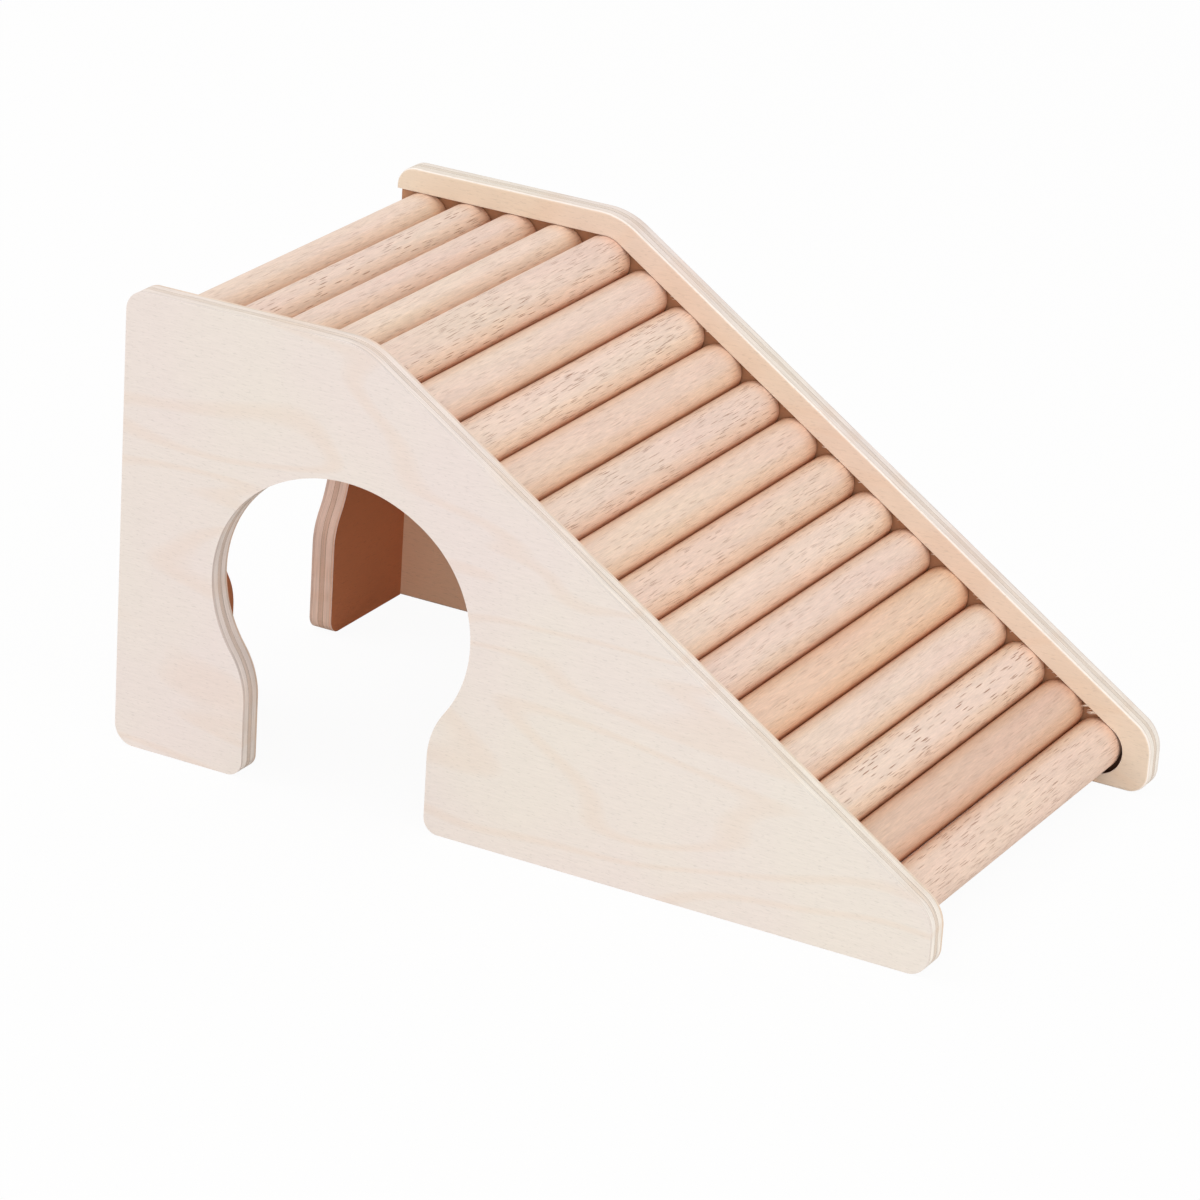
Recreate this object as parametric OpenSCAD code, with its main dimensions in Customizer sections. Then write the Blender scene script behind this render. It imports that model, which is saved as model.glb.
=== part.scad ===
// Wooden small animal hide: a ramp of round rods held between two grooved plywood sides.
// X points from the tall rear end to the nose, Y from the doorway panel across to the plain
// panel, and Z up. The origin is on the ground in the middle of the hide.

/* [Overall size] */
// Length from the rear edge to the nose
length = 168; // [164:1:176]
// Height of the flat top above the ground
height = 89; // [87:1:94]
// Width over the outer faces of both side panels
width = 99; // [84:1:130]

/* [Side panels] */
// Thickness of the plywood side panels
panel_thickness = 5; // [4:0.5:6]
// Radius of the upper rear corner
rear_top_radius = 4; // [2:0.5:8]
// Radius of the lower rear corner
rear_foot_radius = 4; // [2:0.5:8]
// Radius where the flat top bends into the slope
bend_radius = 15; // [8:1:20]
// Radius of the upper corner of the nose
nose_radius = 7; // [4:0.5:8]
// Radius of the lower corner of the nose
nose_foot_radius = 4; // [2:0.5:5]
// Width of the eased rims of the plywood
edge_ease = 0.5; // [0.3:0.1:1]

/* [Groove] */
// Strip of panel left above the groove
rail_height = 4.7; // [4:0.1:6]
// Depth of the groove in the inner face
groove_depth = 2.2; // [1.5:0.1:2.8]
// Width of the groove beyond the diameter of a rod
groove_play = 0.2; // [0.1:0.05:0.4]
// Gap between the last rod and the round end of the groove
groove_end_gap = 0.8; // [0.3:0.1:1.2]

/* [Rods] */
// Distance from the rear edge to the axis of the first rod
first_rod_inset = 6; // [5.5:0.1:7]
// Distance from the nose to the axis of the last rod
last_rod_inset = 11.4; // [11:0.1:14]
// Height of the axis of the last rod above the ground
last_rod_height = 7.5; // [7:0.1:9]
// Clearance between neighbouring rods
rod_gap = 0.1; // [0.05:0.05:0.3]
// Clearance between the end of a rod and the floor of the groove
rod_end_play = 0.1; // [0.05:0.05:0.25]
// Width of the eased rim at the ends of a rod
rod_end_ease = 0.8; // [0.3:0.1:1.5]

/* [Side doorway] */
// Distance from the rear edge to the middle of the doorway
doorway_middle = 47.3; // [45:0.1:49]
// Width of the doorway at its widest
doorway_width = 54.4; // [48:0.1:55]
// Height of the doorway above the ground
doorway_height = 62.8; // [58:0.1:64]
// Width of the neck of the doorway near the ground
doorway_neck = 39; // [34:0.1:42]
// Height of the widest place of the doorway
doorway_belly = 38; // [36:0.5:40]
// Radius where the arch turns into the neck
doorway_neck_radius = 16; // [10:1:18]
// Radius of the feet of the doorway
doorway_foot_radius = 3; // [1.5:0.5:4]

/* [Rear wall] */
// Thickness of the plywood rear wall
wall_thickness = 5; // [4.5:0.5:6]
// Step from the rear edge of the side panels to the rear wall
wall_inset = 0.3; // [0:0.1:0.8]
// Gap between the top of the rear wall and the underside of the first rod
wall_top_gap = 0.2; // [0.1:0.1:1]
// Width of the rear doorway at its widest
rear_doorway_width = 46.5; // [40:0.1:50]
// Height of the rear doorway above the ground
rear_doorway_height = 58; // [52:0.5:62]
// Width of the neck of the rear doorway near the ground
rear_doorway_neck = 36; // [32:0.1:38]
// Height of the widest place of the rear doorway
rear_doorway_belly = 36; // [34:0.5:38]
// Radius where the rear arch turns into the neck
rear_doorway_neck_radius = 12; // [8:1:14]
// Radius of the feet of the rear doorway
rear_doorway_foot_radius = 3; // [1.5:0.5:4]

/* [Dowel pins] */
// Diameter of the blind dowel pins
pin_diameter = 3; // [2:0.1:3]
// Length of a pin
pin_length = 9; // [6:0.5:12]
// Length of a pin inside the side panel
pin_in_panel = 2.8; // [2:0.1:3]
// Clearance round a pin and at its ends
pin_play = 0.1; // [0.05:0.05:0.2]
// Height of the lower pins
low_pin_height = 14; // [10:1:20]
// Height of the upper pins
high_pin_height = 60; // [50:1:66]

/* [Hidden] */
$fn = 96;
beech = "#e3bd97";
birch = "#efdcc6";

flat_rods = 4;
slope_rods = 13;
rod_count = flat_rods + 1 + slope_rods;

function pitch_at(angle) =
    (length - first_rod_inset - last_rod_inset) / (flat_rods + slope_rods * cos(angle));
function rod_depth_at(angle) = rail_height + (pitch_at(angle) - rod_gap + groove_play) / 2;
function drop_missing(angle) =
    height - rod_depth_at(angle) - last_rod_height - slope_rods * pitch_at(angle) * sin(angle);

// The slope angle at which the rods, side by side, reach from the flat top to the nose
function slope_between(low, high, halvings) =
    let (middle = (low + high) / 2)
    halvings == 0 ? middle
    : drop_missing(middle) > 0 ? slope_between(middle, high, halvings - 1)
    : slope_between(low, middle, halvings - 1);

slope_search = [20, 50];
search_steps = 40;
slope = slope_between(slope_search[0], slope_search[1], search_steps);
rod_pitch = pitch_at(slope);
rod_diameter = rod_pitch - rod_gap;
groove_width = rod_diameter + groove_play;
rod_depth = rail_height + groove_width / 2;
bend_rod_x = first_rod_inset + flat_rods * rod_pitch;
rod_z = height - rod_depth;
bend_x = bend_rod_x + rod_depth * tan(slope / 2);
nose_height = height - (length - bend_x) * tan(slope);
inner_width = width - 2 * panel_thickness;
wall_height = rod_z - rod_diameter / 2 - wall_top_gap;
pin_x = wall_inset + wall_thickness / 2;

// How far a cut runs on past the faces that it opens
run_out = 1;

function rod_name(i) = str("rod_", i < 10 ? "0" : "", i);

// The axis of rod i in the side view
function rod_axis(i) =
    i <= flat_rods + 1
    ? [first_rod_inset + (i - 1) * rod_pitch, rod_z]
    : [bend_rod_x, rod_z] + (i - 1 - flat_rods) * rod_pitch * [cos(slope), -sin(slope)];

// The outline of a side panel before its corners are rounded, with the radius of each corner
panel_corners = [
    [0, 0, rear_foot_radius],
    [0, height, rear_top_radius],
    [bend_x, height, bend_radius],
    [length, nose_height, nose_radius],
    [length, 0, nose_foot_radius]
];

function point(corner) = [corner[0], corner[1]];
function unit(v) = v / norm(v);
function corner_after(i) = (i + 1) % len(panel_corners);
function corner_before(i) = (i + len(panel_corners) - 1) % len(panel_corners);
function toward(i, j) = unit(point(panel_corners[j]) - point(panel_corners[i]));
function half_angle(i) = acos(toward(i, corner_before(i)) * toward(i, corner_after(i))) / 2;
function tangent_length(i) = panel_corners[i][2] / tan(half_angle(i));
function arc_start(i) = point(panel_corners[i]) + toward(i, corner_before(i)) * tangent_length(i);
function arc_end(i) = point(panel_corners[i]) + toward(i, corner_after(i)) * tangent_length(i);
function arc_middle(i) =
    point(panel_corners[i])
    + unit(toward(i, corner_before(i)) + toward(i, corner_after(i)))
    * panel_corners[i][2] / sin(half_angle(i));
function direction(v) = atan2(v[1], v[0]);

// Stands a board up that was drawn lying flat, its thickness running from y = 0 to y = depth
module upright(depth) {
    translate([0, depth, 0])
        rotate([90, 0, 0])
            children();
}

// Eases a straight edge that runs from a to b, the board lying on its right
module ease_line(a, b, thickness) {
    past = edge_ease / 4;
    translate([a[0], a[1], 0])
        rotate([0, 0, direction(b - a)])
            rotate([90, 0, 90])
                linear_extrude(norm(b - a))
                    for (side = [0, 1])
                        translate([0, side * thickness])
                            mirror([0, 1 - side])
                                polygon([
                                    [-edge_ease - past, past], [past, -edge_ease - past], [past, past]
                                ]);
}

// A round cut is made a hair larger than its neighbours call for, so that it crosses them
swell = 1.0005;

// Rounds a corner over an arc, the board lying inside the arc, and eases both rims
module round_corner(middle, radius, start, span, thickness) {
    past = edge_ease / 4;
    wall = swell * radius;
    reach = 2 * radius;
    translate([middle[0], middle[1], 0])
        rotate([0, 0, start])
            rotate_extrude(angle = span)
                polygon([
                    [reach, -past], [wall - edge_ease - past, -past], [wall, edge_ease],
                    [wall, thickness - edge_ease], [wall - edge_ease - past, thickness + past],
                    [reach, thickness + past]
                ]);
}

// A doorway is half its width, half its neck, its height, the height of its widest place, and
// the radii of its neck and feet
side_doorway = [
    doorway_width / 2, doorway_neck / 2, doorway_height, doorway_belly,
    doorway_neck_radius, doorway_foot_radius
];
rear_doorway = [
    rear_doorway_width / 2, rear_doorway_neck / 2, rear_doorway_height, rear_doorway_belly,
    rear_doorway_neck_radius, rear_doorway_foot_radius
];

// Two arcs of the side radius meet a flatter crown arc above and the neck arcs below
arch_side_share = 0.95;
function rise(door) = door[2] - door[3];
function side_radius(door) = arch_side_share * rise(door);
function side_middle(door) = [door[0] - side_radius(door), door[3]];
function crown_radius(door) =
    (pow(rise(door), 2) - pow(side_radius(door), 2) + pow(side_middle(door)[0], 2))
    / (2 * (rise(door) - side_radius(door)));
function crown_middle(door) = [0, door[2] - crown_radius(door)];
function crown_angle(door) = direction(side_middle(door) - crown_middle(door));
function neck_middle(door) = [
    door[1] + door[4],
    door[3] - sqrt(
        pow(side_radius(door) + door[4], 2) - pow(door[1] + door[4] - side_middle(door)[0], 2)
    )
];
function neck_angle(door) = direction(side_middle(door) - neck_middle(door));
function foot_middle(door) = [door[1] + door[5], door[5]];

function on_circle(middle, radius, angle) = middle + radius * [cos(angle), sin(angle)];

// Points along an arc, a step of so many degrees apart, the first one a step past its start
arc_step = 4;
foot_step = 10;
function arc_points(middle, radius, start, end, step) =
    let (steps = ceil(abs(end - start) / step))
    [for (k = [1 : steps])
        on_circle(middle, radius, start + (end - start) * k / steps)];

// The right side of a doorway about x = 0, from below the crown to below the ground, moved out
// into the board by spread. Each foot stops a little short, where it meets the ground edge
foot_end = 262;
function doorway_right(door, spread) =
    let (foot = arc_points(foot_middle(door), door[5] - spread, 180, foot_end, foot_step))
    concat(
        arc_points(
            side_middle(door), side_radius(door) + spread,
            crown_angle(door), neck_angle(door) - 180, arc_step
        ),
        arc_points(neck_middle(door), door[4] - spread, neck_angle(door), 180, arc_step),
        [[door[1] + spread, door[5]]],
        foot,
        [[foot[len(foot) - 1][0], -run_out]]
    );
function mirrored(points) = [for (i = [len(points) - 1 : -1 : 0]) [-points[i][0], points[i][1]]];
function doorway_outline(door, spread) =
    let (right = doorway_right(door, spread))
    concat(
        arc_points(
            crown_middle(door), crown_radius(door) + spread,
            180 - crown_angle(door), crown_angle(door), arc_step
        ),
        right,
        mirrored(right),
        [on_circle(crown_middle(door), crown_radius(door) + spread, 180 - crown_angle(door))]
    );

// Cuts a doorway out of a board that lies flat. The cut widens towards both faces, which eases
// the rims, and its ends are fans of triangles about a point between the jambs
module doorway_cut(door, thickness) {
    past = edge_ease / 4;
    wide = edge_ease + past;
    levels = [[-past, wide], [edge_ease, 0], [thickness - edge_ease, 0], [thickness + past, wide]];
    count = len(doorway_outline(door, 0));
    last = len(levels) - 1;
    rings = [
        for (level = levels)
            for (p = doorway_outline(door, level[1]))
                [p[0], p[1], level[0]]
    ];
    ends = [for (level = [levels[0], levels[last]]) [0, neck_middle(door)[1], level[0]]];
    polyhedron(
        points = concat(rings, ends),
        faces = [
            for (i = [0 : count - 1])
                let (j = (i + 1) % count)
                each concat(
                    [[len(rings), j, i], [len(rings) + 1, last * count + i, last * count + j]],
                    [for (k = [0 : last - 1])
                        [k * count + i, k * count + j, (k + 1) * count + j, (k + 1) * count + i]]
                )
        ]
    );
}

// A side panel lying flat, before its doorway, groove and pin holes are cut
module panel_board() {
    corners = len(panel_corners);
    difference() {
        difference() {
            linear_extrude(panel_thickness)
                polygon([for (corner = panel_corners) point(corner)]);
            for (i = [0 : corners - 1])
                ease_line(point(panel_corners[i]), point(panel_corners[corner_after(i)]), panel_thickness);
        }
        for (i = [0 : corners - 1])
            round_corner(
                arc_middle(i), panel_corners[i][2], direction(arc_end(i) - arc_middle(i)),
                180 - 2 * half_angle(i), panel_thickness
            );
    }
}

// The side view of the groove, open at the rear edge and round at the nose
module groove_shape() {
    groove_end = rod_axis(rod_count) + groove_end_gap * [cos(slope), -sin(slope)];
    translate([-run_out, rod_z - groove_width / 2])
        square([bend_rod_x + run_out, groove_width]);
    translate([bend_rod_x, rod_z]) {
        circle(swell * groove_width / 2);
        rotate(-slope)
            translate([0, -groove_width / 2])
                square([norm(groove_end - [bend_rod_x, rod_z]), groove_width]);
    }
    translate(groove_end) circle(swell * groove_width / 2);
}

// A round pin or its hole, lying along y from y = 0
module pin_rod(diameter, length) {
    rotate([-90, 0, 0]) cylinder(d = diameter, h = length);
}

// The holes for the two pins at one end of the rear wall, lying along y from y = start
module pin_holes(start, depth) {
    for (z = [low_pin_height, high_pin_height])
        translate([pin_x, start, z])
            pin_rod(pin_diameter + 2 * pin_play, depth);
}

// A side panel with its outer face at y = 0 and the groove in its inner face
module side_panel(has_doorway) {
    pin_hole_depth = pin_in_panel + pin_play;
    difference() {
        upright(panel_thickness)
            if (has_doorway)
                difference() {
                    panel_board();
                    translate([doorway_middle, 0, 0]) doorway_cut(side_doorway, panel_thickness);
                }
            else
                panel_board();
        translate([0, panel_thickness - groove_depth, 0])
            upright(groove_depth + run_out)
                linear_extrude(groove_depth + run_out)
                    groove_shape();
        pin_holes(panel_thickness - pin_hole_depth, pin_hole_depth + run_out);
    }
}

module doorway_panel() {
    color(birch) side_panel(true);
}

module plain_panel() {
    color(birch)
        translate([0, width, 0])
            mirror([0, 1, 0])
                side_panel(false);
}

// The rear wall lying flat, before its pin holes are drilled
module wall_board() {
    difference() {
        difference() {
            cube([inner_width, wall_height, wall_thickness]);
            ease_line([0, wall_height], [inner_width, wall_height], wall_thickness);
            ease_line([inner_width, 0], [0, 0], wall_thickness);
        }
        translate([inner_width / 2, 0, 0]) doorway_cut(rear_doorway, wall_thickness);
    }
}

// The plywood wall across the tall end, with its own doorway
module rear_wall() {
    pin_hole_depth = pin_length - pin_in_panel + pin_play;
    color(birch)
        difference() {
            translate([wall_inset, panel_thickness, 0])
                rotate([90, 0, 90])
                    wall_board();
            pin_holes(panel_thickness - run_out, pin_hole_depth + run_out);
            pin_holes(width - panel_thickness - pin_hole_depth, pin_hole_depth + run_out);
        }
}

// One round rod of the ramp, its ends in the two grooves
module rod(i) {
    rod_length = inner_width + 2 * (groove_depth - rod_end_play);
    radius = rod_diameter / 2;
    color(beech)
        translate([rod_axis(i)[0], (width - rod_length) / 2, rod_axis(i)[1]])
            rotate([-90, 0, 0])
                rotate_extrude()
                    polygon([
                        [0, 0],
                        [radius - rod_end_ease, 0],
                        [radius, rod_end_ease],
                        [radius, rod_length - rod_end_ease],
                        [radius - rod_end_ease, rod_length],
                        [0, rod_length]
                    ]);
}

// A blind pin between a side panel and the rear wall, at the doorway panel or the plain panel
module wall_pin(at_plain_panel, z) {
    start = at_plain_panel
        ? width - panel_thickness + pin_in_panel - pin_length
        : panel_thickness - pin_in_panel;
    color(beech)
        translate([pin_x, start, z])
            pin_rod(pin_diameter, pin_length);
}

// The pieces are drawn from the rear edge and the outer face of the doorway panel, and stand
// about the origin
module stood() {
    translate([-length / 2, -width / 2, 0])
        children();
}

stood() doorway_panel();
stood() plain_panel();
stood() rear_wall();
stood() wall_pin(false, low_pin_height);  // pin_doorway_low
stood() wall_pin(false, high_pin_height);  // pin_doorway_high
stood() wall_pin(true, low_pin_height);  // pin_plain_low
stood() wall_pin(true, high_pin_height);  // pin_plain_high
for (i = [1 : rod_count])
    stood() rod(i);
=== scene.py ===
import random
from math import ceil, cos, pi, radians, sin, tan

import bmesh
import bpy
from mathutils import Euler, Matrix, Vector


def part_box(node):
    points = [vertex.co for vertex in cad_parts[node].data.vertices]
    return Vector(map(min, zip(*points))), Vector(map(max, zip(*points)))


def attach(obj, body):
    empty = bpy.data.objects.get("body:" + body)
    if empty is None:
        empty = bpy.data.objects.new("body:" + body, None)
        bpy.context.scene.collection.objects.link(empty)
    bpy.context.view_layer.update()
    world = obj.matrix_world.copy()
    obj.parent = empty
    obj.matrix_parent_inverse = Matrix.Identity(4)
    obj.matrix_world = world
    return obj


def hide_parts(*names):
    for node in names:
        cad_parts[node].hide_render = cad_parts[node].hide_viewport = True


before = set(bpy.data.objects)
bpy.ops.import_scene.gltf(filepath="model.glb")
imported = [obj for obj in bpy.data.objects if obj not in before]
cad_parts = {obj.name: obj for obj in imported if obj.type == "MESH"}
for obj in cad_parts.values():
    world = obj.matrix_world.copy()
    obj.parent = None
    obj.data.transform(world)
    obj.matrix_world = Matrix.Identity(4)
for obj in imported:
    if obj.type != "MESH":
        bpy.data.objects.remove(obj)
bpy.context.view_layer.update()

# SIDE PANELS
# Two boards of 5 mm birch plywood, routed along one template and sanded round on both rims.
# The front one has a doorway. Both have a groove for the rods in the inner face, open at the
# rear edge, and two blind holes for the pins of the rear wall. Sizes are in millimetres.
MM = 0.001
REAR = -84
NOSE = 84
TOP = 89
OUTER_FACE = 49.5
PLY_THICKNESS = 5
INNER_FACE = OUTER_FACE - PLY_THICKNESS
SLOPE = 33.057  # degrees
BEND = -34.65  # where the lines of the top and of the slope would meet
BEND_RADIUS = 15
NOSE_TOP = 11.78  # where the lines of the slope and of the nose would meet
NOSE_RADIUS = 7
CORNER_RADIUS = 4
RIM = 0.5
ARC_STEP = 3  # degrees
SAME_PLACE = 1e-7  # metres


def router_path(bm, turns, y):
    """A closed loop of edges along the turns, with straight runs between. Each turn is its
    middle's x and z, its radius, and the angles of its start and its sweep."""
    ends = []
    for x, z, radius, start, sweep in turns:
        start_x = x + radius * cos(radians(start))
        start_z = z + radius * sin(radians(start))
        first = bm.verts.new((start_x * MM, y * MM, start_z * MM))
        last = first
        if radius:
            spun = bmesh.ops.spin(
                bm, geom=[first], cent=(x * MM, y * MM, z * MM), axis=(0, -1, 0),
                angle=radians(sweep), steps=ceil(abs(sweep) / ARC_STEP), use_duplicate=False,
            )
            last = spun["geom_last"][0]
        ends.append((first, last))
    for i, (first, last) in enumerate(ends):
        bm.edges.new((last, ends[(i + 1) % len(ends)][0]))
    return [e for e in bm.edges if all(abs(v.co.y - y * MM) < SAME_PLACE for v in e.verts)]


def doorway_turns(
    middle, half_width, half_neck, height, belly, neck_radius, foot_radius, crown, sides
):
    """The turns of a doorway from its right foot over the arch to its left foot. belly is the
    height at which it is widest. crown is the radius of the top arc and the angle at which it
    meets the side arcs, and sides their radius and the angle at which they meet the neck."""
    crown_radius, crown_angle = crown
    side_radius, neck_angle = sides
    side_x = half_width - side_radius
    neck_x = half_neck + neck_radius
    reach = side_radius + neck_radius
    neck_z = belly - (reach ** 2 - (neck_x - side_x) ** 2) ** 0.5
    foot_x = half_neck + foot_radius
    side_sweep = 180 - neck_angle + crown_angle
    return [
        (middle + foot_x, foot_radius, foot_radius, 270, -90),
        (middle + neck_x, neck_z, neck_radius, 180, neck_angle - 180),
        (middle + side_x, belly, side_radius, neck_angle - 180, side_sweep),
        (middle, height - crown_radius, crown_radius, crown_angle, 180 - 2 * crown_angle),
        (middle - side_x, belly, side_radius, 180 - crown_angle, side_sweep),
        (middle - neck_x, neck_z, neck_radius, 180 - neck_angle, neck_angle - 180),
        (middle - foot_x, foot_radius, foot_radius, 0, -90),
    ]


def panel_turns(doorway):
    """The outline of a side panel, clockwise from the lower rear corner."""
    bend_x = BEND - BEND_RADIUS * tan(radians(SLOPE / 2))
    nose_z = NOSE_TOP - NOSE_RADIUS * tan(radians((90 - SLOPE) / 2))
    return [
        (REAR + CORNER_RADIUS, CORNER_RADIUS, CORNER_RADIUS, 270, -90),
        (REAR + CORNER_RADIUS, TOP - CORNER_RADIUS, CORNER_RADIUS, 180, -90),
        (bend_x, TOP - BEND_RADIUS, BEND_RADIUS, 90, -SLOPE),
        (NOSE - NOSE_RADIUS, nose_z, NOSE_RADIUS, 90 - SLOPE, SLOPE - 90),
        (NOSE - CORNER_RADIUS, CORNER_RADIUS, CORNER_RADIUS, 0, -90),
    ] + doorway


def sawn_board(turns, y, square_ends=None):
    """A board along the turns with rounded rims. The ends of a board that butts on others stay
    square: no rim is rounded from square_ends outward."""
    bm = bmesh.new()
    bmesh.ops.contextual_create(bm, geom=router_path(bm, turns, y))
    grown = bmesh.ops.extrude_face_region(bm, geom=bm.faces[:], use_keep_orig=True)
    moved = [v for v in grown["geom"] if isinstance(v, bmesh.types.BMVert)]
    bmesh.ops.translate(bm, verts=moved, vec=(0, PLY_THICKNESS * MM, 0))
    bmesh.ops.recalc_face_normals(bm, faces=bm.faces)
    rims = [e for e in bm.edges if abs(e.verts[0].co.y - e.verts[1].co.y) < SAME_PLACE]
    if square_ends:
        reach = square_ends * MM
        rims = [e for e in rims if abs((e.verts[0].co.x + e.verts[1].co.x) / 2) < reach]
    bmesh.ops.bevel(
        bm, geom=rims, offset=RIM * MM, segments=3, profile=0.5, affect="EDGES", material=-1,
        clamp_overlap=True,
    )
    return bm


def to_piece(name, bm, material, slot, *nodes):
    """Finishes a mesh as a piece that stands for its CAD nodes."""
    mesh = bpy.data.meshes.new(name)
    bm.to_mesh(mesh)
    bm.free()
    mesh.shade_smooth()
    mesh.set_sharp_from_angle(angle=radians(40))
    piece = bpy.data.objects.new(name, mesh)
    bpy.context.scene.collection.objects.link(piece)
    mesh.materials.append(material)
    even = piece.modifiers.new("even_faces", "WEIGHTED_NORMAL")
    even.keep_sharp = True
    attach(piece, "root")
    if nodes:
        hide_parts(*nodes)
    return piece


# The rods' axes lie at ROD_Z along the top and turn into the slope at BEND_ROD_X.
ROD_Z = 79.19
BEND_ROD_X = -37.56
GROOVE_END = (73.27, 7.06)
GROOVE_WIDTH = 10.21
GROOVE_DEPTH = 2.2
GROOVE_LIP = 0.12
LIP_FLARE = 0.62
PIN_HOLE_RADIUS = 1.6
PIN_HOLE_DEPTH = 2.9
PIN_X = -81.2
PIN_HEIGHTS = (14, 60)
RUN_OUT = 0.5  # how far a cut goes on past the face
RUN_OUT_REAR = 1


def groove_turns(width):
    """The side view of the groove, run out past the rear edge."""
    half = width / 2
    inner_bend = BEND_ROD_X - half * tan(radians(SLOPE / 2))
    return [
        (REAR - RUN_OUT_REAR, ROD_Z - half, 0, 0, 0),
        (REAR - RUN_OUT_REAR, ROD_Z + half, 0, 0, 0),
        (BEND_ROD_X, ROD_Z, half, 90, -SLOPE),
        (*GROOVE_END, half, 90 - SLOPE, -180),
        (inner_bend, ROD_Z - half, 0, 0, 0),
    ]


def groove_and_holes(inner, inward):
    """The cut for the groove, flared at the face where the lip was sanded, and for the pin
    holes. inner is the panel's inner face, and inward 1 or -1 the way that it looks."""
    bm = bmesh.new()
    levels = [
        (inner - inward * GROOVE_DEPTH, 0),
        (inner - inward * GROOVE_LIP, 0),
        (inner + inward * RUN_OUT, LIP_FLARE),
    ]
    loops = [router_path(bm, groove_turns(GROOVE_WIDTH + 2 * wide), y) for y, wide in levels]
    for low, high in zip(loops, loops[1:]):
        bmesh.ops.bridge_loops(bm, edges=low + high)
    for loop in (loops[0], loops[-1]):
        bmesh.ops.contextual_create(bm, geom=loop)
    length = PIN_HOLE_DEPTH + RUN_OUT
    for z in PIN_HEIGHTS:
        middle = Vector((PIN_X, inner + inward * (RUN_OUT - length / 2), z))
        bmesh.ops.create_cone(
            bm, cap_ends=True, segments=24, radius1=PIN_HOLE_RADIUS * MM,
            radius2=PIN_HOLE_RADIUS * MM, depth=length * MM,
            matrix=Matrix.Translation(middle * MM) @ Matrix.Rotation(pi / 2, 4, "X"),
        )
    bmesh.ops.recalc_face_normals(bm, faces=bm.faces)
    return bm


def cut_out(board, tool):
    """The board with the tool's volume taken out."""
    objects = []
    for bm in (board, tool):
        mesh = bpy.data.meshes.new("blank")
        bm.to_mesh(mesh)
        bm.free()
        objects.append(bpy.data.objects.new("blank", mesh))
        bpy.context.scene.collection.objects.link(objects[-1])
    cut = objects[0].modifiers.new("cut", "BOOLEAN")
    cut.solver = "EXACT"
    cut.object = objects[1]
    evaluated = objects[0].evaluated_get(bpy.context.evaluated_depsgraph_get())
    result = bmesh.new()
    result.from_mesh(bpy.data.meshes.new_from_object(evaluated))
    for o in objects:
        bpy.data.objects.remove(o)
    bmesh.ops.remove_doubles(result, verts=result.verts, dist=1e-6)
    return result


def linear(code):
    """A colour written as sRGB hex, as the linear values that a shader takes."""
    parts = [int(code[i:i + 2], 16) / 255 for i in (1, 3, 5)]
    return [c / 12.92 if c <= 0.04045 else ((c + 0.055) / 1.055) ** 2.4 for c in parts] + [1]


def node(tree, kind, settings):
    """Adds a node. Each setting is a socket's value or link, a property, or a ramp's stops."""
    new = tree.nodes.new("ShaderNode" + kind)
    for name, value in settings.items():
        if name == "stops":
            ramp = new.color_ramp
            while len(ramp.elements) < len(value):
                ramp.elements.new(1)
            for stop, (place, colour) in zip(ramp.elements, value):
                stop.position = place
                stop.color = linear(colour)
        elif isinstance(name, str) and name[0].islower():
            target = new.color_ramp if name == "interpolation" and kind == "ValToRGB" else new
            setattr(target, name, value)
        elif isinstance(value, bpy.types.NodeSocket):
            tree.links.new(value, new.inputs[name])
        elif isinstance(value, bpy.types.Node):
            tree.links.new(value.outputs[0], new.inputs[name])
        else:
            new.inputs[name].default_value = value
    return new


def product(tree, first, second):
    """The product of two numbers."""
    return node(tree, "Math", {"operation": "MULTIPLY", 0: first, 1: second})


def stretched(tree, place, scale):
    """A place with each axis multiplied by its own scale."""
    return node(tree, "VectorMath", {"operation": "MULTIPLY", 0: place, 1: scale})


def ranged(tree, value, start, end, low=0, high=1):
    """A value that runs from start to end, as one that runs from low to high."""
    return node(tree, "MapRange", {
        "Value": value, "From Min": start, "From Max": end, "To Min": low, "To Max": high,
    })


def mixed(tree, factor, first, second, way="MIX"):
    """Two colours mixed, or the first one multiplied by the second where way says so."""
    mix = node(tree, "Mix", {
        "data_type": "RGBA", "blend_type": way, 0: factor, 6: first, 7: second,
    })
    return mix.outputs[2]


# Five plies: two face veneers of 0.5 mm, two crossed plies of 1.3 mm and a core of 1 mm, with
# glue lines of 0.06 mm between. These are the glue lines' edges, as shares of the thickness, and
# the colours from each edge to the next: glue and ply by turns, with the core in the middle.
PLY_EDGES = (0.104, 0.116, 0.384, 0.398, 0.602, 0.616, 0.884, 0.896)
PLY_TONES = ("#d2c6bd", "#efe9e4", "#a5907f", "#e1d6cc", "#957d6a", "#efe8e2", "#d2c8c1")


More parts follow.
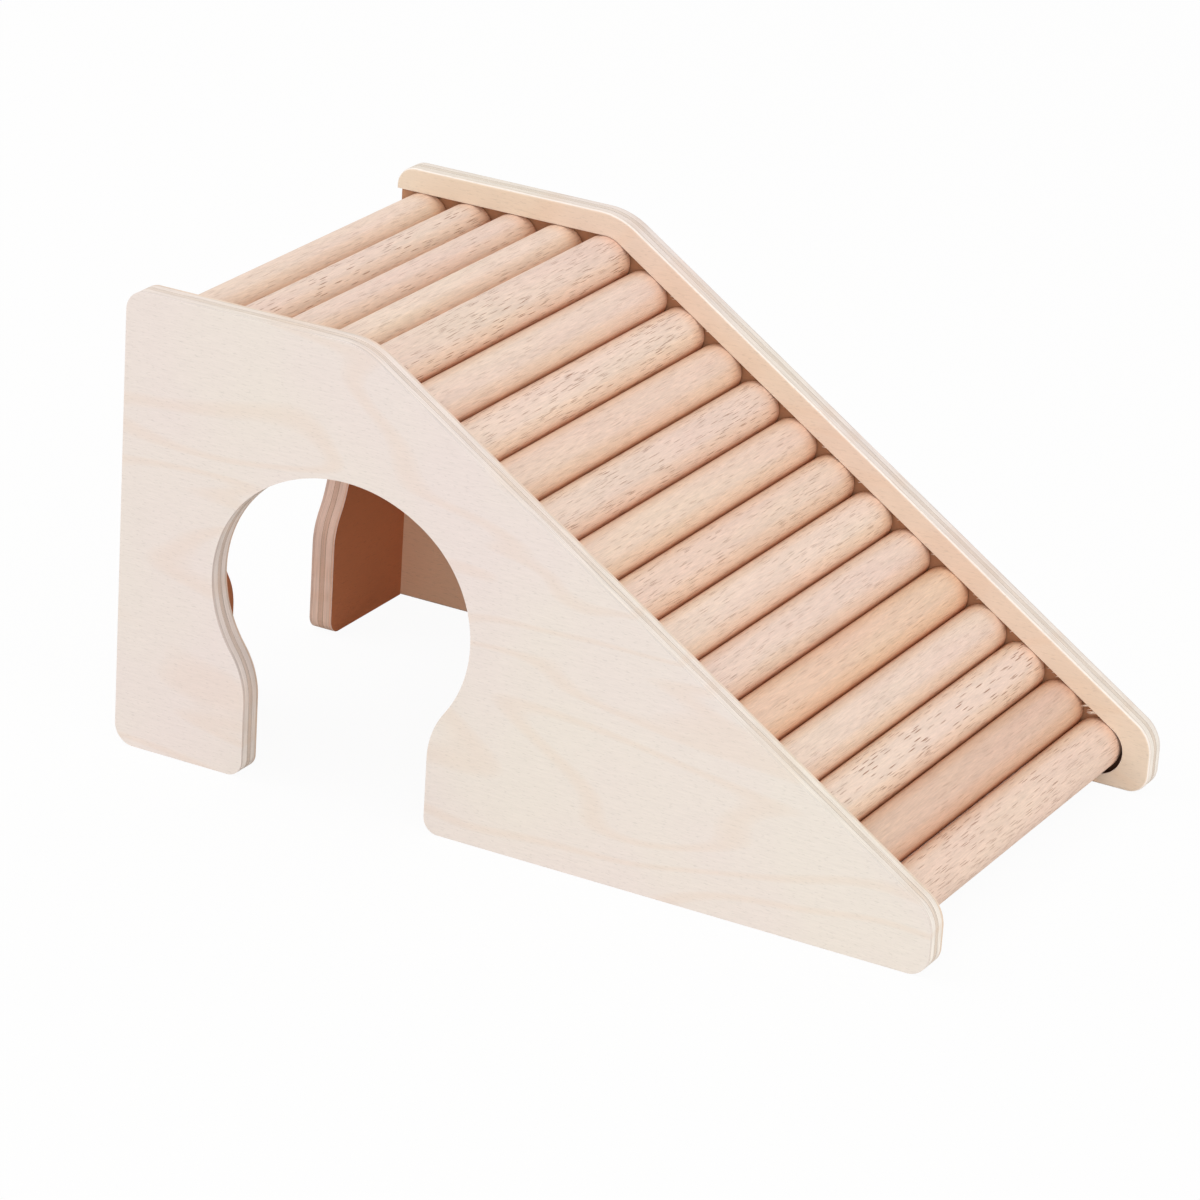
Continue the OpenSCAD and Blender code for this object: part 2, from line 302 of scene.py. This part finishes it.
def birch_plywood(name, turn, shift, front, back, inner, edge_tone):
    """Bare sanded birch plywood. Pale cream faces with faint long figure and fine fibres, and on
    the cut edges pale plies about a tan core, between thin brown glue lines. turn and shift bring
    a board to its sheet: X along the face grain, Z through the plies, in millimetres. front and
    back are the face veneers. inner is painted on the back veneer under the rods, as painted
    shade and warm bounce light inside the hide. edge_tone tints the cut edges; where it is not
    white, the tint is painted warm shade."""
    material = bpy.data.materials.new(name)
    material.use_nodes = True
    tree = material.node_tree
    shader = tree.nodes["Principled BSDF"]
    place = node(tree, "TexCoord", {})
    sheet = node(tree, "Mapping", {
        "Vector": place.outputs["Object"], "Scale": (1000, 1000, 1000), "Rotation": turn,
        "Location": shift,
    })
    # The plies wander a little, by up to 0.14 mm over 25 mm.
    wander = node(tree, "TexNoise", {"Vector": sheet, "Scale": 0.04, "Detail": 1})
    wander_mm = ranged(tree, wander, 0, 1, -0.14, 0.14)
    depth = node(tree, "SeparateXYZ", {"Vector": sheet})
    true_depth = node(tree, "Math", {0: depth.outputs["Z"], 1: wander_mm})
    level = ranged(tree, true_depth, 0, PLY_THICKNESS)
    crossed = node(tree, "ValToRGB", {"Fac": level, "interpolation": "CONSTANT", "stops": [
        (0, "#000000"), (PLY_EDGES[0], "#ffffff"), (PLY_EDGES[3], "#000000"),
        (PLY_EDGES[4], "#ffffff"), (PLY_EDGES[7], "#000000"),
    ]})
    ply_colour = node(tree, "ValToRGB", {"Fac": level, "interpolation": "CONSTANT", "stops": [
        (0, front), *zip(PLY_EDGES, (*PLY_TONES, back)),
    ]})
    # Fibres are 0.2 to 0.4 mm wide and 3 to 6 mm long, along each ply's own grain.
    along = stretched(tree, sheet, (0.22, 2.6, 2.6))
    across = stretched(tree, sheet, (2.6, 0.22, 2.6))
    grain = node(tree, "Mix", {"data_type": "VECTOR", 0: crossed, 4: along, 5: across}).outputs[1]
    fibres = node(tree, "TexNoise", {
        "Vector": grain, "Scale": 1, "Detail": 5, "Roughness": 0.62, "Distortion": 0.3,
    })
    fibre_shade = ranged(tree, fibres, 0.3, 0.7, 0.955, 1.02)
    # Pores are short hairlines about 1 mm long, drawn 0.25 mm wide so that they show.
    pore_grain = stretched(tree, grain, (4, 1.5, 1.5))
    pores = node(tree, "TexNoise", {"Vector": pore_grain, "Scale": 1, "Detail": 1})
    pore_shade = ranged(tree, pores, 0.28, 0.4, 0.9, 1)
    # The peeled veneer shows the growth rings as a few wide, soft contour lines.
    rings_field = stretched(tree, sheet, (0.0075, 0.03, 0.004))
    hills = node(tree, "TexNoise", {
        "Vector": rings_field, "Scale": 1, "Detail": 1.6, "Distortion": 0.5,
    })
    ring_wave = node(tree, "Math", {"operation": "SINE", 0: product(tree, hills, 62)})
    ring_line = ranged(tree, ring_wave, 0.55, 1, 0, 0.15)
    figured = mixed(tree, ring_line, ply_colour, linear("#e3c3a6"))
    # Broad patches between pinker and creamier wood.
    patches = node(tree, "TexNoise", {"Vector": sheet, "Scale": 0.022, "Detail": 2})
    patch_tint = node(tree, "ValToRGB", {"Fac": patches, "stops": [
        (0.35, "#fff9f7"), (0.65, "#fffdf6"),
    ]})
    tinted = mixed(tree, 1.0, figured, patch_tint, "MULTIPLY")
    facing = node(tree, "SeparateXYZ", {"Vector": node(tree, "Mapping", {
        "vector_type": "VECTOR", "Vector": place.outputs["Normal"], "Rotation": turn,
    })})
    flatness = node(tree, "Math", {"operation": "ABSOLUTE", 0: facing.outputs["Z"]})
    # Under the rods the inner faces are painted warmer and more saturated: painted shade and warm
    # bounce light inside the hide.
    side_view = stretched(tree, place.outputs["Object"], (1, 0, 1))
    under_bend = node(tree, "VectorMath", {
        "operation": "SUBTRACT", 0: Vector((BEND_ROD_X, 0, ROD_Z)) * MM, 1: side_view,
    })
    under_top = node(tree, "VectorMath", {
        "operation": "DOT_PRODUCT", 0: under_bend, 1: (0, 0, 1000),
    })
    under_slope = node(tree, "VectorMath", {
        "operation": "DOT_PRODUCT", 0: under_bend,
        1: (1000 * sin(radians(SLOPE)), 0, 1000 * cos(radians(SLOPE))),
    })
    under_rods = node(tree, "Math", {
        "operation": "MINIMUM", 0: under_top.outputs["Value"], 1: under_slope.outputs["Value"],
    })
    inside = ranged(tree, under_rods, 4.5, 6)
    back_ply = node(tree, "Math", {"operation": "GREATER_THAN", 0: level, 1: PLY_EDGES[7]})
    broad = ranged(tree, flatness, 0.6, 0.95)
    interior_shade = product(tree, product(tree, inside, back_ply), broad)
    warmed = mixed(tree, interior_shade, tinted, linear(inner))
    # Where a cut crosses the fibres, the open ends look a little darker and greyer.
    ends = node(tree, "Mix", {
        "data_type": "FLOAT", 0: crossed, 2: facing.outputs["X"], 3: facing.outputs["Y"],
    })
    ends_size = node(tree, "Math", {"operation": "ABSOLUTE", 0: ends})
    end_grain = ranged(tree, ends_size, 0.5, 0.95, 0, 0.7)
    cut = mixed(tree, end_grain, warmed, linear("#f8f4f2"), "MULTIPLY")
    # Knife checks and fibre ends run as fine lines along the cut edges.
    on_edge = ranged(tree, flatness, 0.3, 0.7, 1, 0)
    # The cut edges are multiplied by edge_tone. On the rear wall this tint is painted warm shade;
    # on the side panels it is white.
    edge_toned = mixed(tree, on_edge, cut, linear(edge_tone), "MULTIPLY")
    line_grain = stretched(tree, sheet, (0.12, 0.12, 5.5))
    lines = node(tree, "TexNoise", {"Vector": line_grain, "Scale": 1, "Detail": 2})
    line_shade = ranged(tree, lines, 0.35, 0.6, 0.86, 1.03)
    edge_shade = node(tree, "Mix", {"data_type": "FLOAT", 0: on_edge, 2: 1.0, 3: line_shade})
    # The floor of the groove, where it shows between the rod ends, is painted brown: painted
    # shade in the recess.
    floor_depth = node(tree, "Math", {
        "operation": "COMPARE", 0: depth.outputs["Z"], 1: PLY_THICKNESS - GROOVE_DEPTH, 2: 0.05,
    })
    groove_floor_shade = product(tree, ranged(tree, flatness, 0.9, 0.95, 0, 0.9), floor_depth)
    floor_shaded = mixed(tree, groove_floor_shade, edge_toned, linear("#b57c52"))
    # The round end of the groove, 5.1 mm about its middle, from the floor up to 0.2 mm below the
    # face, is painted dark brown: painted shade in the gap about the last rod's end.
    from_end = node(tree, "VectorMath", {
        "operation": "DISTANCE", 0: side_view,
        1: Vector((GROOVE_END[0], 0, GROOVE_END[1])) * MM,
    })
    near_end = node(tree, "Math", {
        "operation": "LESS_THAN", 0: from_end.outputs["Value"], 1: 0.0053,
    })
    below_lip = node(tree, "Math", {
        "operation": "COMPARE", 0: depth.outputs["Z"], 1: 3.75, 2: 1.05,
    })
    groove_end_shade = product(tree, near_end, below_lip)
    groove_end_shaded = mixed(tree, groove_end_shade, floor_shaded, linear("#50301f"))
    # The sanded rims, and the lip of the groove, are painted paler: a painted highlight where
    # light catches the eased rims.
    steepness = node(tree, "Math", {"operation": "SUBTRACT", 0: 1.0, 1: flatness})
    rim = ranged(tree, product(tree, flatness, steepness), 0.08, 0.2, 0, 0.65)
    rim_highlighted = mixed(tree, rim, groove_end_shaded, linear("#f7f2ee"))
    face_shade = product(tree, fibre_shade, pore_shade)
    shade = product(tree, face_shade, edge_shade)
    finish = node(tree, "VectorMath", {"operation": "SCALE", 0: rim_highlighted, "Scale": shade})
    roughness = ranged(tree, fibres, 0, 1, 0.55, 0.72)
    relief = node(tree, "Bump", {"Height": shade, "Strength": 0.35, "Distance": 0.0004})
    tree.links.new(finish.outputs[0], shader.inputs["Base Color"])
    tree.links.new(roughness.outputs[0], shader.inputs["Roughness"])
    tree.links.new(relief.outputs[0], shader.inputs["Normal"])
    shader.inputs["IOR"].default_value = 1.48
    return material


FACE_VENEER = "#e6dfdb"
BACK_VENEER = "#e6d5c5"
# INTERIOR_SHADE_TONE is painted shade: the warm colour painted on the inner faces under the rods,
# inside the hide.
INTERIOR_SHADE_TONE = "#fdd6b6"
front_ply = birch_plywood(
    "birch_plywood_doorway_panel", (pi / 2, 0, 0), (0, 0, OUTER_FACE), FACE_VENEER,
    BACK_VENEER, INTERIOR_SHADE_TONE, "#ffffff",
)
far_ply = birch_plywood(
    "birch_plywood_plain_panel", (-pi / 2, 0, 0), (310, 170, OUTER_FACE), FACE_VENEER,
    BACK_VENEER, INTERIOR_SHADE_TONE, "#ffffff",
)

side_doorway = doorway_turns(
    middle=-36.7, half_width=27.2, half_neck=19.5, height=62.8, belly=38, neck_radius=16,
    foot_radius=3, crown=(29.52, 52.38), sides=(23.56, 143.64),
)
doorway_board = cut_out(
    sawn_board(panel_turns(side_doorway), -OUTER_FACE), groove_and_holes(-INNER_FACE, 1)
)
to_piece("doorway_side_panel", doorway_board, front_ply, "birch_plywood", "doorway_panel")
plain_board = cut_out(sawn_board(panel_turns([]), INNER_FACE), groove_and_holes(INNER_FACE, -1))
to_piece("plain_side_panel", plain_board, far_ply, "birch_plywood", "plain_panel")


# TORN FIBRES
# Where the cutter left the face veneer across its grain, it tore out slivers of birch, which lie
# along the grain over the upper edge of the sloping groove. They are still fixed at their roots.
FIRST_TORN_GAP = 6
LAST_TORN_GAP = 17
SLIVER_ROOT = 0.35
SLIVER_TIP_RADIUS = 0.02


def torn_fibres(inner, inward, material, name, seed):
    """Slivers at a panel's inner face, in the gaps between the rods of the slope: one to three
    short ones at each gap, and a tuft at the last one."""
    chance = random.Random(seed)
    slivers = bmesh.new()
    upward = Vector((sin(radians(SLOPE)), 0, cos(radians(SLOPE))))
    downhill = Vector((cos(radians(SLOPE)), 0, -sin(radians(SLOPE))))
    for number in range(FIRST_TORN_GAP, LAST_TORN_GAP + 1):
        corners = [*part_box(f"rod_{number:02d}"), *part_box(f"rod_{number + 1:02d}")]
        gap = sum(corners, Vector()) / 4
        gap.y = inner * MM
        if number == LAST_TORN_GAP:
            count, shortest, longest = 9, 0.8, 1.9
        else:
            count, shortest, longest = chance.randint(1, 3), 0.35, 0.9
        for _ in range(count):
            rim = gap + (upward * GROOVE_WIDTH / 2 + downhill * chance.uniform(-0.8, 1.7)) * MM
            length = chance.uniform(shortest, longest)
            lift = -inward * chance.uniform(0.02, 0.25)
            place = rim + Vector((SLIVER_ROOT - (length + SLIVER_ROOT) / 2, lift, 0.02)) * MM
            droop = Matrix.Rotation(chance.uniform(-0.5, 0), 4, "Y")
            bmesh.ops.create_cone(
                slivers, cap_ends=True, segments=5, radius1=chance.uniform(0.07, 0.13) * MM,
                radius2=SLIVER_TIP_RADIUS * MM, depth=(length + SLIVER_ROOT) * MM,
                matrix=Matrix.Translation(place) @ droop @ Matrix.Rotation(-pi / 2, 4, "Y"),
            )
    to_piece(name, slivers, material, "birch_plywood")


torn_fibres(INNER_FACE, -1, far_ply, "torn_fibres_plain_panel", 5)
torn_fibres(-INNER_FACE, 1, front_ply, "torn_fibres_doorway_panel", 6)


# REAR WALL
# A board of the same plywood between the side panels, with a doorway of the same form, glued
# and pinned to them at its square ends. Its inner face under the rods is painted darker and
# redder, and its cut edges pinker: painted shade and warm bounce light inside the hide.
WALL_HEIGHT = 73.99
WALL_OUTER_X = -83.7
rear_doorway = doorway_turns(
    middle=0, half_width=23.25, half_neck=18, height=58, belly=36, neck_radius=12,
    foot_radius=3, crown=(23.96, 39.83), sides=(20.9, 147.19),
)
wall = sawn_board(
    [
        (-INNER_FACE, 0, 0, 0, 0),
        (-INNER_FACE, WALL_HEIGHT, 0, 0, 0),
        (INNER_FACE, WALL_HEIGHT, 0, 0, 0),
        (INNER_FACE, 0, 0, 0, 0),
    ] + rear_doorway,
    0, square_ends=INNER_FACE - 0.01,
)
bmesh.ops.rotate(wall, verts=wall.verts, cent=(0, 0, 0), matrix=Matrix.Rotation(-pi / 2, 3, "Z"))
bmesh.ops.translate(wall, verts=wall.verts, vec=(WALL_OUTER_X * MM, 0, 0))
wall_to_sheet = Matrix(((0, 1, 0), (0, 0, 1), (1, 0, 0))).to_euler()
# The rear wall's inner colour and edge tone are painted shade and warm bounce light inside the
# hide.
wall_ply = birch_plywood(
    "birch_plywood_rear_wall", wall_to_sheet, (520, 90, -WALL_OUTER_X), FACE_VENEER, "#f0ddcf",
    "#d98b60", "#f8e0d4",
)
to_piece("rear_end_wall", wall, wall_ply, "birch_plywood", "rear_wall")


# RODS
# Eighteen turned beech rods of 10 mm, side by side in the grooves and glued there. Five lie
# along the flat top and thirteen down the slope.
PITH_AWAY = 40


def beech(name, middle, tint, ray_strength, grain_turn, grain_shift, neighbours=()):
    """Bare turned beech: peach to tan, with soft growth rings along the rod and the short dark
    dashes of the wood's rays on the sides that face the bark. grain_turn and grain_shift say
    which piece of the tree it is, and neighbours are the ways to the rods that touch it; towards
    each, and towards the rod's ends, the colour is painted warmer and darker as shade."""
    material = bpy.data.materials.new(name)
    material.use_nodes = True
    tree = material.node_tree
    shader = tree.nodes["Principled BSDF"]
    turned = Euler((0, grain_turn, 0)).to_matrix()
    place = node(tree, "TexCoord", {})
    # In millimetres, X runs from the pith to the bark and Y along the rod.
    wood = node(tree, "Mapping", {
        "Vector": place.outputs["Object"], "Scale": (1000, 1000, 1000),
        "Rotation": (0, grain_turn, 0),
        "Location": Vector(grain_shift) - turned @ (middle * 1000),
    })
    # Growth rings 2 to 3 mm apart, about a pith that was some 40 mm away.
    bend = node(tree, "TexNoise", {"Vector": wood, "Scale": 0.03, "Detail": 1})
    from_pith = node(tree, "VectorMath", {
        "operation": "ADD", 0: wood, 1: (-grain_shift[0] + PITH_AWAY, 0, -grain_shift[2]),
    })
    flat = stretched(tree, from_pith, (1, 0, 1))
    radius = node(tree, "VectorMath", {"operation": "LENGTH", 0: flat})
    bent = node(tree, "Math", {
        "operation": "MULTIPLY_ADD", 0: bend, 1: 9.0, 2: radius.outputs["Value"],
    })
    ring_wave = node(tree, "Math", {"operation": "SINE", 0: product(tree, bent, 2.4)})
    ring_shade = ranged(tree, ring_wave, -0.2, 1, 1, 0.955)
    # Fibres about 0.2 mm wide and 3 mm long.
    fibre_grain = stretched(tree, wood, (4.5, 0.3, 4.5))
    fibres = node(tree, "TexNoise", {
        "Vector": fibre_grain, "Scale": 1, "Detail": 5, "Roughness": 0.65,
    })
    fibre_shade = ranged(tree, fibres, 0.3, 0.7, 0.83, 1.06)
    # Rays: plates 0.1 mm thick and up to 3 mm long, seen end on as dashes and from the side as
    # flecks. They crowd in some zones of the wood.
    ray_grain = stretched(tree, wood, (2.4, 0.17, 5.0))
    rays = node(tree, "TexVoronoi", {"Vector": ray_grain, "Scale": 1, "Randomness": 1})
    ray_mark = ranged(tree, rays, 0.19, 0.29, 1, 0)
    ray_zones = node(tree, "TexNoise", {"Vector": wood, "Scale": 0.09, "Detail": 1})
    ray_zone = ranged(tree, ray_zones, 0.38, 0.56, 0.4, 1)
    ray_amount = product(tree, product(tree, ray_mark, ray_zone), ray_strength)
    # Wide, soft changes between pink and tan wood.
    tones = stretched(tree, wood, (0.12, 0.02, 0.12))
    tone = node(tree, "TexNoise", {"Vector": tones, "Scale": 1, "Detail": 2})
    tone_tint = node(tree, "ValToRGB", {"Fac": tone, "stops": [
        (0.3, "#fff4f0"), (0.7, "#fffaf2"),
    ]})
    base = mixed(tree, 1.0, tone_tint, linear(tint), "MULTIPLY")
    shade = product(tree, ring_shade, fibre_shade)
    shaded = node(tree, "VectorMath", {"operation": "SCALE", 0: base, "Scale": shade})
    marked = mixed(tree, ray_amount, shaded, linear("#9c6c52"))
    # A rod's colour is painted warmer at its last few millimetres, where it meets the panels, and
    # down its sides to where it touches each neighbour, 5 mm from its axis: painted shade and
    # warm bounce light in the crevices.
    from_middle = node(tree, "VectorMath", {
        "operation": "SUBTRACT", 0: place.outputs["Object"], 1: middle,
    })
    from_centre = node(tree, "SeparateXYZ", {"Vector": from_middle})
    end_reach = node(tree, "Math", {"operation": "ABSOLUTE", 0: from_centre.outputs["Y"]})
    near_end = ranged(tree, end_reach, 0.041, 0.0455)
    crevice_shaded = mixed(tree, near_end, marked, linear("#ffefe2"), "MULTIPLY")
    for side in neighbours:
        reach = node(tree, "VectorMath", {"operation": "DOT_PRODUCT", 0: from_middle, 1: side})
        near_edge = ranged(tree, reach.outputs["Value"], 0.002, 0.005)
        crevice_shade = node(tree, "ValToRGB", {"Fac": near_edge, "stops": [
            (0, "#ffffff"), (0.33, "#fffaf3"), (0.73, "#fff8ee"), (0.88, "#ffeddd"),
            (1, "#f8d0b0"),
        ]})
        crevice_shaded = mixed(tree, 1.0, crevice_shaded, crevice_shade, "MULTIPLY")
    roughness = ranged(tree, fibres, 0, 1, 0.48, 0.66)
    height = node(tree, "Math", {"operation": "SUBTRACT", 0: fibre_shade, 1: ray_amount})
    relief = node(tree, "Bump", {"Height": height, "Strength": 0.5, "Distance": 0.0004})
    tree.links.new(crevice_shaded, shader.inputs["Base Color"])
    tree.links.new(roughness.outputs[0], shader.inputs["Roughness"])
    tree.links.new(relief.outputs[0], shader.inputs["Normal"])
    shader.inputs["IOR"].default_value = 1.5
    return material


ROD_COUNT = 18
ROD_RIM = 0.8
ROD_WEAR = 0.01
PALE = "#eedccf"
PINK = "#ebd8cc"
TAN = "#ebd6c7"
ORANGE = "#e8ccb7"
BROWN = "#dec3b1"
rod_tints = [
    PALE, PINK, PINK, PALE, PINK, PINK, PALE, TAN, PINK,
    TAN, TAN, PALE, PINK, ORANGE, PINK, PALE, BROWN, TAN,
]
# How strongly each rod shows its rays.
rod_rays = [
    0.4, 0.9, 0.5, 0.4, 0.9, 0.3, 0.85, 0.3, 0.85,
    0.35, 0.6, 0.5, 0.45, 0.35, 0.35, 0.9, 0.25, 0.7,
]
lathe = random.Random(18)
middles = []
for number in range(1, ROD_COUNT + 1):
    low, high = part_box(f"rod_{number:02d}")
    middles.append((low + high) / 2)
for number, (tint, rays) in enumerate(zip(rod_tints, rod_rays), 1):
    cad_name = f"rod_{number:02d}"
    low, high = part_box(cad_name)
    middle = (low + high) / 2
    radius = (high.x - low.x) / 2 - lathe.uniform(0, ROD_WEAR) * MM
    rod = bmesh.new()
    bmesh.ops.create_cone(
        rod, cap_ends=True, segments=72, radius1=radius, radius2=radius, depth=high.y - low.y
    )
    rims = [e for e in rod.edges if abs(e.verts[0].co.z - e.verts[1].co.z) < SAME_PLACE]
    bmesh.ops.bevel(
        rod, geom=rims, offset=ROD_RIM * MM, segments=4, profile=0.5, affect="EDGES",
        material=-1, clamp_overlap=True,
    )
    bmesh.ops.rotate(rod, verts=rod.verts, cent=(0, 0, 0), matrix=Matrix.Rotation(pi / 2, 3, "X"))
    bmesh.ops.translate(rod, verts=rod.verts, vec=middle)
    beside = middles[max(number - 2, 0):number - 1] + middles[number:number + 1]
    wood = beech(
        f"turned_beech_{number:02d}", middle, tint, rays, lathe.uniform(0, 2 * pi),
        (lathe.uniform(-8, 8) + 60 * number, lathe.uniform(0, 400), lathe.uniform(-8, 8)),
        [(other - middle).normalized() for other in beside],
    )
    to_piece(f"beech_rod_{number:02d}", rod, wood, "beech_rod", cad_name)


# PINS
# Four plain beech pins, blind in the side panels and the ends of the rear wall. The CAD's own
# pins are kept, and get their wood here.
for cad_name in ("pin_doorway_low", "pin_doorway_high", "pin_plain_low", "pin_plain_high"):
    low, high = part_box(cad_name)
    pin_wood = beech(
        "beech_" + cad_name, (low + high) / 2, TAN, 0.5, lathe.uniform(0, 2 * pi), (0, 50, 0)
    )
    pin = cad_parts[cad_name]
    pin.data.materials.clear()
    pin.data.materials.append(pin_wood)


# STUDIO
# A white table that glows to the camera, an even white room, and three soft lamps: above the
# tall end, in front, and low at the nose. The table lies 0.1 mm low, clear of the panels' feet.
TABLE_DROP = 0.1
table = bmesh.new()
bmesh.ops.create_grid(table, x_segments=1, y_segments=1, size=4)
table_mesh = bpy.data.meshes.new("table")
table.to_mesh(table_mesh)
table.free()
table_mesh.transform(Matrix.Translation((0, 0, -TABLE_DROP * MM)))
floor = bpy.data.objects.new("table", table_mesh)
bpy.context.scene.collection.objects.link(floor)
paper = bpy.data.materials.new("white_paper")
paper.use_nodes = True
tree = paper.node_tree
shader = tree.nodes["Principled BSDF"]
shader.inputs["Base Color"].default_value = linear("#e4e2e0")
shader.inputs["Roughness"].default_value = 0.9
light_path = node(tree, "LightPath", {})
glow = node(tree, "Emission", {"Color": (1, 1, 1, 1), "Strength": 1})
seen = product(tree, light_path.outputs["Is Camera Ray"], 0.95)
paper_seen = node(tree, "MixShader", {0: seen, 1: shader, 2: glow})
tree.links.new(paper_seen.outputs[0], tree.nodes["Material Output"].inputs["Surface"])
table_mesh.materials.append(paper)

world = bpy.data.worlds.new("room")
bpy.context.scene.world = world
world.use_nodes = True
sky = world.node_tree
room = node(sky, "Background", {"Color": (1, 0.995, 0.99, 1), "Strength": 0.74})
white = node(sky, "Background", {"Color": (1, 1, 1, 1), "Strength": 1})
sky_path = node(sky, "LightPath", {})
direct = node(sky, "Math", {
    "operation": "MAXIMUM", 0: sky_path.outputs["Is Camera Ray"],
    1: sky_path.outputs["Is Glossy Ray"],
})
room_seen = node(sky, "MixShader", {0: direct, 1: room, 2: white})
sky.links.new(room_seen.outputs[0], sky.nodes["World Output"].inputs["Surface"])

LAMP_AIM = Vector((0, 0, 0.04))


def soft_lamp(name, place, size, power, colour):
    """A square soft lamp that looks from its place at the middle of the hide."""
    lamp = bpy.data.lights.new(name, "AREA")
    lamp.size = size
    lamp.energy = power
    lamp.color = colour
    stand = bpy.data.objects.new(name, lamp)
    stand.location = place
    stand.rotation_euler = (LAMP_AIM - Vector(place)).to_track_quat("-Z", "Y").to_euler()
    bpy.context.scene.collection.objects.link(stand)


soft_lamp("lamp_above_tall_end", (-0.75, -0.25, 1.05), 0.7, 5.0, (1, 0.99, 0.98))
soft_lamp("lamp_in_front", (0.6, -1.35, 0.5), 0.8, 4.4, (1, 1, 1))
soft_lamp("lamp_at_the_nose", (1.5, -0.5, 0.35), 0.9, 7.9, (1, 1, 1))

# The camera of the photograph, fitted to the outlines of the hide: a long lens from the front,
# right and above, turned a little about its own axis.
camera_data = bpy.data.cameras.new("camera")
camera_data.sensor_width = 36
camera_data.lens = 157.69
camera_data.clip_end = 20
camera = bpy.data.objects.new("camera", camera_data)
right = Vector((0.872117, 0.485626, 0.059831))
down = Vector((0.232410, -0.303531, -0.924042))
ahead = Vector((-0.430578, 0.819778, -0.377579))
camera.matrix_world = Matrix.Translation((0.409281, -0.798630, 0.398510)) @ Matrix(
    (right, -down, -ahead)
).transposed().to_4x4()
bpy.context.scene.collection.objects.link(camera)
bpy.context.scene.camera = camera
bpy.context.scene.view_settings.view_transform = "Standard"
